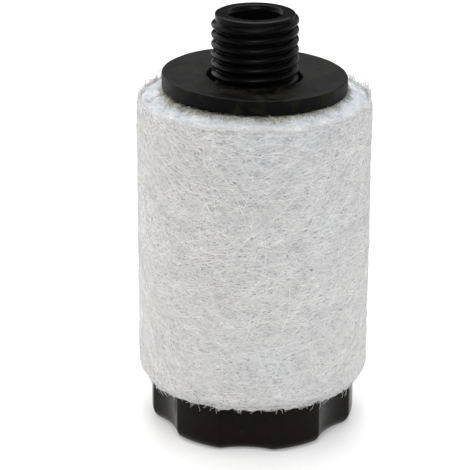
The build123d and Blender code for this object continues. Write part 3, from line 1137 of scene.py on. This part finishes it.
    def layers(self) -> list[bpy.types.Object]:
        """Lays two coats of fine fibres, long pale ones over them, and fringes at the hem and the lip.

        Returns:
            The finished layers.
        """
        white = Fibre().build()
        pale = Fibre("pale_fibre", (0.97, 0.965, 0.95), (0.88, 0.877, 0.87)).build()
        made = []
        for index in range(2):
            size = (3 * MM, 11 * MM), (0.03 * MM, 0.055 * MM)
            fine = FibreMat(f"wrap_fibres_{index}", 1900, *size, 9, 0.7, 0.05, 70 + index)
            made.append((self.fibres(fine, (0.0, 0.10 * MM), 0.42), white))
        size = (5 * MM, 16 * MM), (0.035 * MM, 0.065 * MM)
        bold = FibreMat("wrap_fibres_bold", 1000, *size, 14, 1.0, 0.05, 80)
        made.append((self.fibres(bold, (0.01 * MM, 0.12 * MM), 0.30), pale))
        size = (0.5 * MM, 2.6 * MM), (0.025 * MM, 0.05 * MM)
        hem = FibreMat("hem_curls", 260, *size, 10, 4.6, 0.25, 90)
        made.append((self.fringe(hem, self.hem, -0.12 * MM, 0.25 * MM, 0.5), white))
        size = (0.8 * MM, 4.0 * MM), (0.04 * MM, 0.08 * MM)
        lip = FibreMat("lip_fibres", 1800, *size, 8, 0.9, 0.15, 91)
        made.append((self.fringe(lip, self.lip, 0.16 * MM, 0.35 * MM, 0.3), white))
        return [lay(layer, fibre) for layer, fibre in made]

    def dress(self) -> list[bpy.types.Object]:
        """Returns:
            The sleeve and its layers.
        """
        piece = self.build()
        layers = self.layers()
        piece.data.materials.append(NonWoven().build())
        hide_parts("outer_wrap")
        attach(piece, "filter_body")
        return [piece] + layers


@dataclass
class SoftRing:
    """A soft ring inside the muffler: foam, a wound wrap or the sump's felt pad."""

    node: str
    inner: float
    lap: float = 0.0
    tuft: float = 0.06 * MM
    edge: float = 0.18 * MM
    seed: int = 1
    columns: int = 220

    def build(self, name: str) -> bpy.types.Object:
        """Makes the ring: a rectangle with cut corners carried round, roughened by tufts.

        A wound wrap ends in a lap, so its outer radius grows by the lap's thickness over one turn.

        Args:
            name: the piece's name.

        Returns:
            The piece, within its node's box.
        """
        low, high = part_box(self.node)
        inner, outer, edge = self.inner, high[0] - 0.01 * MM, self.edge
        bottom, top = low[2] + 0.01 * MM, high[2] - 0.01 * MM
        section = [(inner, bottom + edge), (inner, top - edge), (inner + edge, top), (outer - edge, top)]
        section += [(outer, top - edge), (outer, bottom + edge)]
        section += [(outer - edge, bottom), (inner + edge, bottom)]
        radius, height = section_path(section, 0.5 * MM)
        turn = np.arange(self.columns) / self.columns
        share = ((radius - inner) / (outer - inner))[:, None]
        along = (height / (50 * MM))[:, None]
        rough = summed_noise(turn[None], along, (70, 90, self.seed, 1.0), (24, 30, 5, 1.0))
        slack = (1 - rough) * 0.25 * self.tuft + self.lap * (1 - turn)[None]
        inset = np.sign(height - (bottom + top) / 2)[:, None] * np.abs(rough) * 0.25 * self.tuft
        return ring_surface(
            name, radius[:, None] - slack * share, height[:, None] - inset, turn * TURN, Ends.JOINED
        )

    def dress(self, name: str, material: bpy.types.Material, slot: str, body: str) -> bpy.types.Object:
        """Builds the ring and gives it its finish and its place on the frame.

        Args:
            name: the piece's name.
            material: its finish.
            slot: the frame's material slot that the finish stands for; not used.
            body: the body that it rides on.

        Returns:
            The piece.
        """
        piece = self.build(name)
        piece.data.materials.append(material)
        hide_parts(self.node)
        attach(piece, body)
        return piece


@dataclass
class SoftCore:
    """The soft layers round the core tube and the pad in the sump."""

    foam: SoftRing = field(default_factory=lambda: SoftRing("inner_foam", 7.13 * MM, tuft=0.10 * MM, seed=3))
    inner_wrap: SoftRing = field(
        default_factory=lambda: SoftRing("microfibre_wrap_inner", 8.13 * MM, lap=0.10 * MM, seed=4)
    )
    outer_wrap: SoftRing = field(
        default_factory=lambda: SoftRing("microfibre_wrap_outer", 8.98 * MM, lap=0.10 * MM, seed=6)
    )
    pad: SoftRing = field(
        default_factory=lambda: SoftRing("sump_pad", 5.33 * MM, tuft=0.2 * MM, edge=0.4 * MM, seed=7)
    )

    def dress(self) -> list[bpy.types.Object]:
        """Returns:
            The foam, the two wound wraps and the pad.
        """
        foam = self.foam.dress("core_foam", InnerFinish.FOAM.value.build(), "foam", "filter_body")
        pieces = [foam]
        media = InnerFinish.MEDIA.value.build()
        for ring, name in (self.inner_wrap, "inner_media_wrap"), (self.outer_wrap, "outer_media_wrap"):
            low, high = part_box(ring.node)
            piece = ring.dress(name, media, "microfibre", "filter_body")
            pieces.append(piece)
        pad = self.pad.dress("sump_felt_pad", InnerFinish.PAD.value.build(), "sump_felt", "screw_cap")
        return pieces + [pad]


@dataclass
class ScrewCap:
    """The scalloped hand cap with its sump, boss and dished base."""

    radius: float = 13.25 * MM
    top: float = 6.9 * MM
    base_round: float = 1.7 * MM
    top_round: float = 0.3 * MM
    scallops: int = 6
    scallop_depth: float = 1.1 * MM
    scallop_arc: float = 11.8 * MM
    scallop_soft: float = 0.10 * MM
    first_scallop: float = -93.3
    wall: float = 2.05 * MM
    floor: float = 2.0 * MM
    fillet: float = 0.4 * MM
    break_size: float = 0.2 * MM
    boss_radius: float = 5.2 * MM
    boss_top: float = 8.0 * MM
    pocket_radius: float = 4.0 * MM
    pocket_floor: float = 2.4 * MM
    columns: int = 720

    def outline(self, angle: Array) -> Array:
        """Outer radius at an angle: the lesser of the round rim and the nearest scallop's arc.

        A scallop is an arc of a circle centred outside the cap at distance d; it is met at
        d cos a - sqrt(arc^2 - d^2 sin^2 a), a being the angle from the scallop's middle. The two are
        joined by the smooth minimum (s + t - sqrt((s - t)^2 + e^2)) / 2.

        Args:
            angle: angles in radians.

        Returns:
            Radii in metres.
        """
        pitch = TURN / self.scallops
        away = (angle - math.radians(self.first_scallop) + pitch / 2) % pitch - pitch / 2
        centre = self.radius - self.scallop_depth + self.scallop_arc
        inside = np.clip(self.scallop_arc**2 - (centre * np.sin(away)) ** 2, 0, None)
        groove = centre * np.cos(away) - np.sqrt(inside)
        return (groove + self.radius - np.sqrt((groove - self.radius) ** 2 + self.scallop_soft**2)) / 2

    def build(self) -> bpy.types.Object:
        """Makes the cap as one closed surface from the base's middle round to the pocket's floor.

        Returns:
            The piece.
        """
        angle = np.arange(self.columns) / self.columns * TURN
        outline = self.outline(angle)[None]
        spread = np.ones((1, self.columns))
        dish = np.array([(1.0, 0.5), (8.2, 0.5), (8.5, 0.4), (8.9, 0.03), (9.2, 0.0)]) * MM
        round_turn = np.radians(np.linspace(90, 0, 15))[:, None]
        round_r = outline - self.base_round + self.base_round * np.cos(round_turn)
        round_z = self.base_round - self.base_round * np.sin(round_turn)
        edge = self.top_round
        side_z = np.linspace(self.base_round, self.top - edge, 12)[1:, None]
        edge_turn = np.radians(np.linspace(0, 90, 6))[1:, None]
        top_r = outline - edge + edge * np.cos(edge_turn)
        top_z = self.top - edge + edge * np.sin(edge_turn)
        inner, boss, fillet, cut = self.radius - self.wall, self.boss_radius, self.fillet, self.break_size
        inside = [(inner + cut, self.top), (inner, self.top - cut), (inner, self.floor + fillet)]
        inside += [(inner - fillet, self.floor), (boss + fillet, self.floor), (boss, self.floor + fillet)]
        inside += [(boss, self.boss_top - cut), (boss - cut, self.boss_top)]
        inside += [(self.pocket_radius, self.boss_top), (self.pocket_radius, self.pocket_floor)]
        inside += [(1.0 * MM, self.pocket_floor)]
        dish_rz, in_rz = dish[:, :, None] * spread, np.array(inside)[:, :, None] * spread
        side_r = outline * np.ones((len(side_z), 1))
        radius = np.vstack([dish_rz[:, 0], round_r, side_r, top_r, in_rz[:, 0]])
        height = np.vstack([dish_rz[:, 1], round_z * spread, side_z * spread, top_z * spread, in_rz[:, 1]])
        return ring_surface("scalloped_cap", radius[::-1], height[::-1], angle, Ends.CAPPED)

    def dress(self) -> list[bpy.types.Object]:
        """Builds the cap and gives it its finish and its place on the frame.

        Returns:
            The piece, in a list.
        """
        nylon = MouldedNylon("cap_nylon", (0.0048, 0.0033, 0.0024), (0.010, 0.0075, 0.0055), 0.22, 0.075)
        piece = self.build()
        piece.data.materials.append(nylon.build())
        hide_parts("bottom_cap")
        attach(piece, "screw_cap")
        return [piece]


class InnerFinish(Enum):
    """Finishes of the inner pieces."""

    STEEL = Metal("core_steel", (0.50, 0.50, 0.51), (0.28, 0.26, 0.24))
    ZINC = Metal("zinc_steel", (0.60, 0.60, 0.62), (0.38, 0.36, 0.30), 0.28)
    BRASS = Metal("turned_brass", (0.62, 0.42, 0.15), (0.32, 0.20, 0.08), 0.25)
    MESH = WovenWire()
    O_RING = MouldedRubber("o_ring_rubber", (0.010, 0.010, 0.010), (0.02, 0.02, 0.02), 0.4, 5000.0)
    NYLON = MouldedNylon("inner_nylon", gloss=0.32)
    SLIP = SoftMedia("natural_nylon", (0.62, 0.58, 0.46), (0.55, 0.50, 0.38), 900.0, 0.02 * MM, 0.42)
    FOAM = SoftMedia("foam", (0.05, 0.055, 0.06), (0.008, 0.008, 0.009), 1500.0, 0.4 * MM)
    MEDIA = SoftMedia("microfibre", (0.74, 0.72, 0.66), (0.50, 0.48, 0.42), 4200.0, 0.1 * MM)
    RESIN = SoftMedia("cast_urethane", (0.02, 0.05, 0.12), (0.012, 0.03, 0.08), 700.0, 0.03 * MM, 0.35)
    PAD = SoftMedia("sump_felt", (0.52, 0.49, 0.40), (0.34, 0.31, 0.24), 3200.0, 0.2 * MM)


@dataclass
class Interior:
    """The pieces inside the sleeve, which keep their CAD shape."""

    finishes: dict[str, InnerFinish] = field(default_factory=lambda: {
        "spigot_o_ring": InnerFinish.O_RING,
        "plug_o_ring": InnerFinish.O_RING,
        "inlet_strainer": InnerFinish.MESH,
        "core_mesh_sleeve": InnerFinish.MESH,
        "strainer_ring": InnerFinish.ZINC,
        "tie_stud": InnerFinish.ZINC,
        "core_tube": InnerFinish.STEEL,
        "outer_support_tube": InnerFinish.STEEL,
        "top_end_seal": InnerFinish.RESIN,
        "bottom_end_seal": InnerFinish.RESIN,
        "lower_end_disc": InnerFinish.NYLON,
        "core_end_plug": InnerFinish.NYLON,
        "slip_washer": InnerFinish.SLIP,
        "cap_insert": InnerFinish.BRASS,
    })

    def dress(self) -> list[bpy.types.Object]:
        """Puts each finish on the material slots of its nodes.

        Returns:
            The CAD pieces.
        """
        built = {finish: finish.value.build() for finish in dict.fromkeys(self.finishes.values())}
        pieces = []
        for node, finish in self.finishes.items():
            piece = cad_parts[node]
            piece.data.materials.clear()
            piece.data.materials.append(built[finish])
            pieces.append(piece)
        return pieces


@dataclass
class Studio:
    """Camera, soft lights and a plain pale floor."""

    distance: float = 296.34 * MM
    eye_height: float = 137.0 * MM
    pitch: float = 0.357
    yaw: float = 0.0006
    roll: float = 0.0079
    lens: float = 187.5
    shift: tuple[float, float] = (-0.0426, -0.0213)
    aim_height: float = 28.0 * MM
    floor_reach: float = 2.0
    floor_glow: float = 0.28
    sky: tuple[float, float, float, float] = (0.9, 0.95, 1.0, 1.0)
    sky_strength: float = 0.05

    def camera(self) -> None:
        """Places the camera in front of the muffler, looking slightly down."""
        forward = Vector((
            math.sin(self.yaw) * math.cos(self.pitch),
            math.cos(self.yaw) * math.cos(self.pitch),
            -math.sin(self.pitch),
        ))
        level = Vector((math.cos(self.yaw), -math.sin(self.yaw), 0))
        above = level.cross(forward)
        right = level * math.cos(self.roll) + above * math.sin(self.roll)
        up = above * math.cos(self.roll) - level * math.sin(self.roll)
        data = bpy.data.cameras.new("camera")
        data.lens = self.lens
        data.sensor_width = 36.0
        data.shift_x, data.shift_y = self.shift
        data.clip_start, data.clip_end = 0.01, 20.0
        eye = bpy.data.objects.new("camera", data)
        turn = Matrix((right, up, -forward)).transposed().to_4x4()
        eye.matrix_world = Matrix.Translation((0, -self.distance, self.eye_height)) @ turn
        bpy.context.scene.collection.objects.link(eye)
        bpy.context.scene.camera = eye

    def lamp(self, name: str, place: tuple, size: float, power: float, colour: Colour = (1, 1, 1)) -> None:
        """Adds a square soft light that faces the muffler's middle.

        Args:
            name: the light's name.
            place: its middle in metres.
            size: its side in metres.
            power: its power in watts.
            colour: its colour.
        """
        data = bpy.data.lights.new(name, "AREA")
        data.shape = "SQUARE"
        data.size = size
        data.energy = power
        data.color = colour
        lamp = bpy.data.objects.new(name, data)
        aim = Vector((0, 0, self.aim_height)) - Vector(place)
        lamp.matrix_world = Matrix.Translation(place) @ aim.to_track_quat("-Z", "Y").to_matrix().to_4x4()
        bpy.context.scene.collection.objects.link(lamp)

    def floor(self) -> None:
        """A wide pale floor that the cap stands on, also when it is screwed down off its stud."""
        corners = np.array([[-1, -1, 0], [1, -1, 0], [1, 1, 0], [-1, 1, 0]]) * self.floor_reach
        plane = new_piece("floor", corners, [[0, 1, 2, 3]], smooth=False)
        graph = Graph("floor_paint")
        tone = graph.noise(graph.place(), 3.0, 2.0).ramp(0.2, 0.8)
        plane.data.materials.append(graph.finish({
            "Base Color": graph.blend(tone, (0.66, 0.66, 0.66), (0.68, 0.68, 0.68)),
            "Roughness": 0.9,
            "Specular IOR Level": 0.0,
            "Emission Color": (1.0, 1.0, 1.0, 1.0),
            "Emission Strength": self.floor_glow,
        }))
        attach(plane, "cap_carrier")

    def build(self) -> None:
        """Sets up the camera, the floor, the lights round the muffler and a faint sky."""
        self.camera()
        self.floor()
        self.lamp("top_light", (0.0, 0.0, 0.70), 0.6, 2.3)
        self.lamp("top_back_light", (0.0, 0.45, 0.60), 0.5, 3.3, (0.98, 0.99, 1.0))
        self.lamp("top_front_light", (0.0, -0.50, 0.70), 0.4, 3.9)
        self.lamp("left_light", (-0.70, 0.0, 0.25), 0.5, 2.1, (1.0, 0.94, 0.89))
        self.lamp("right_light", (0.70, 0.0, 0.25), 0.5, 1.3)
        self.lamp("back_left_light", (-0.50, 0.50, 0.25), 0.5, 2.0, (1.0, 0.94, 0.90))
        self.lamp("back_right_light", (0.50, 0.50, 0.25), 0.5, 0.9)
        self.lamp("front_right_light", (0.55, -0.50, 0.25), 0.4, 0.5)
        world = bpy.data.worlds.new("world")
        world.use_nodes = True
        background = world.node_tree.nodes["Background"]
        background.inputs[0].default_value = self.sky
        background.inputs[1].default_value = self.sky_strength
        bpy.context.scene.world = world
        bpy.context.scene.view_settings.view_transform = "Standard"


def main() -> None:
    """Builds every sub-assembly in order and reports each piece."""
    Studio().build()
    for part in (Nipple(), Gasket(), FeltSleeve(), WrapSleeve(), ScrewCap(), SoftCore(), Interior()):
        for piece in part.dress():
            log.info("%s: %s, %d faces", type(part).__name__, piece.name, len(piece.data.polygons))


if __name__ == "__main__":
    logging.basicConfig(level=logging.INFO)
    main()
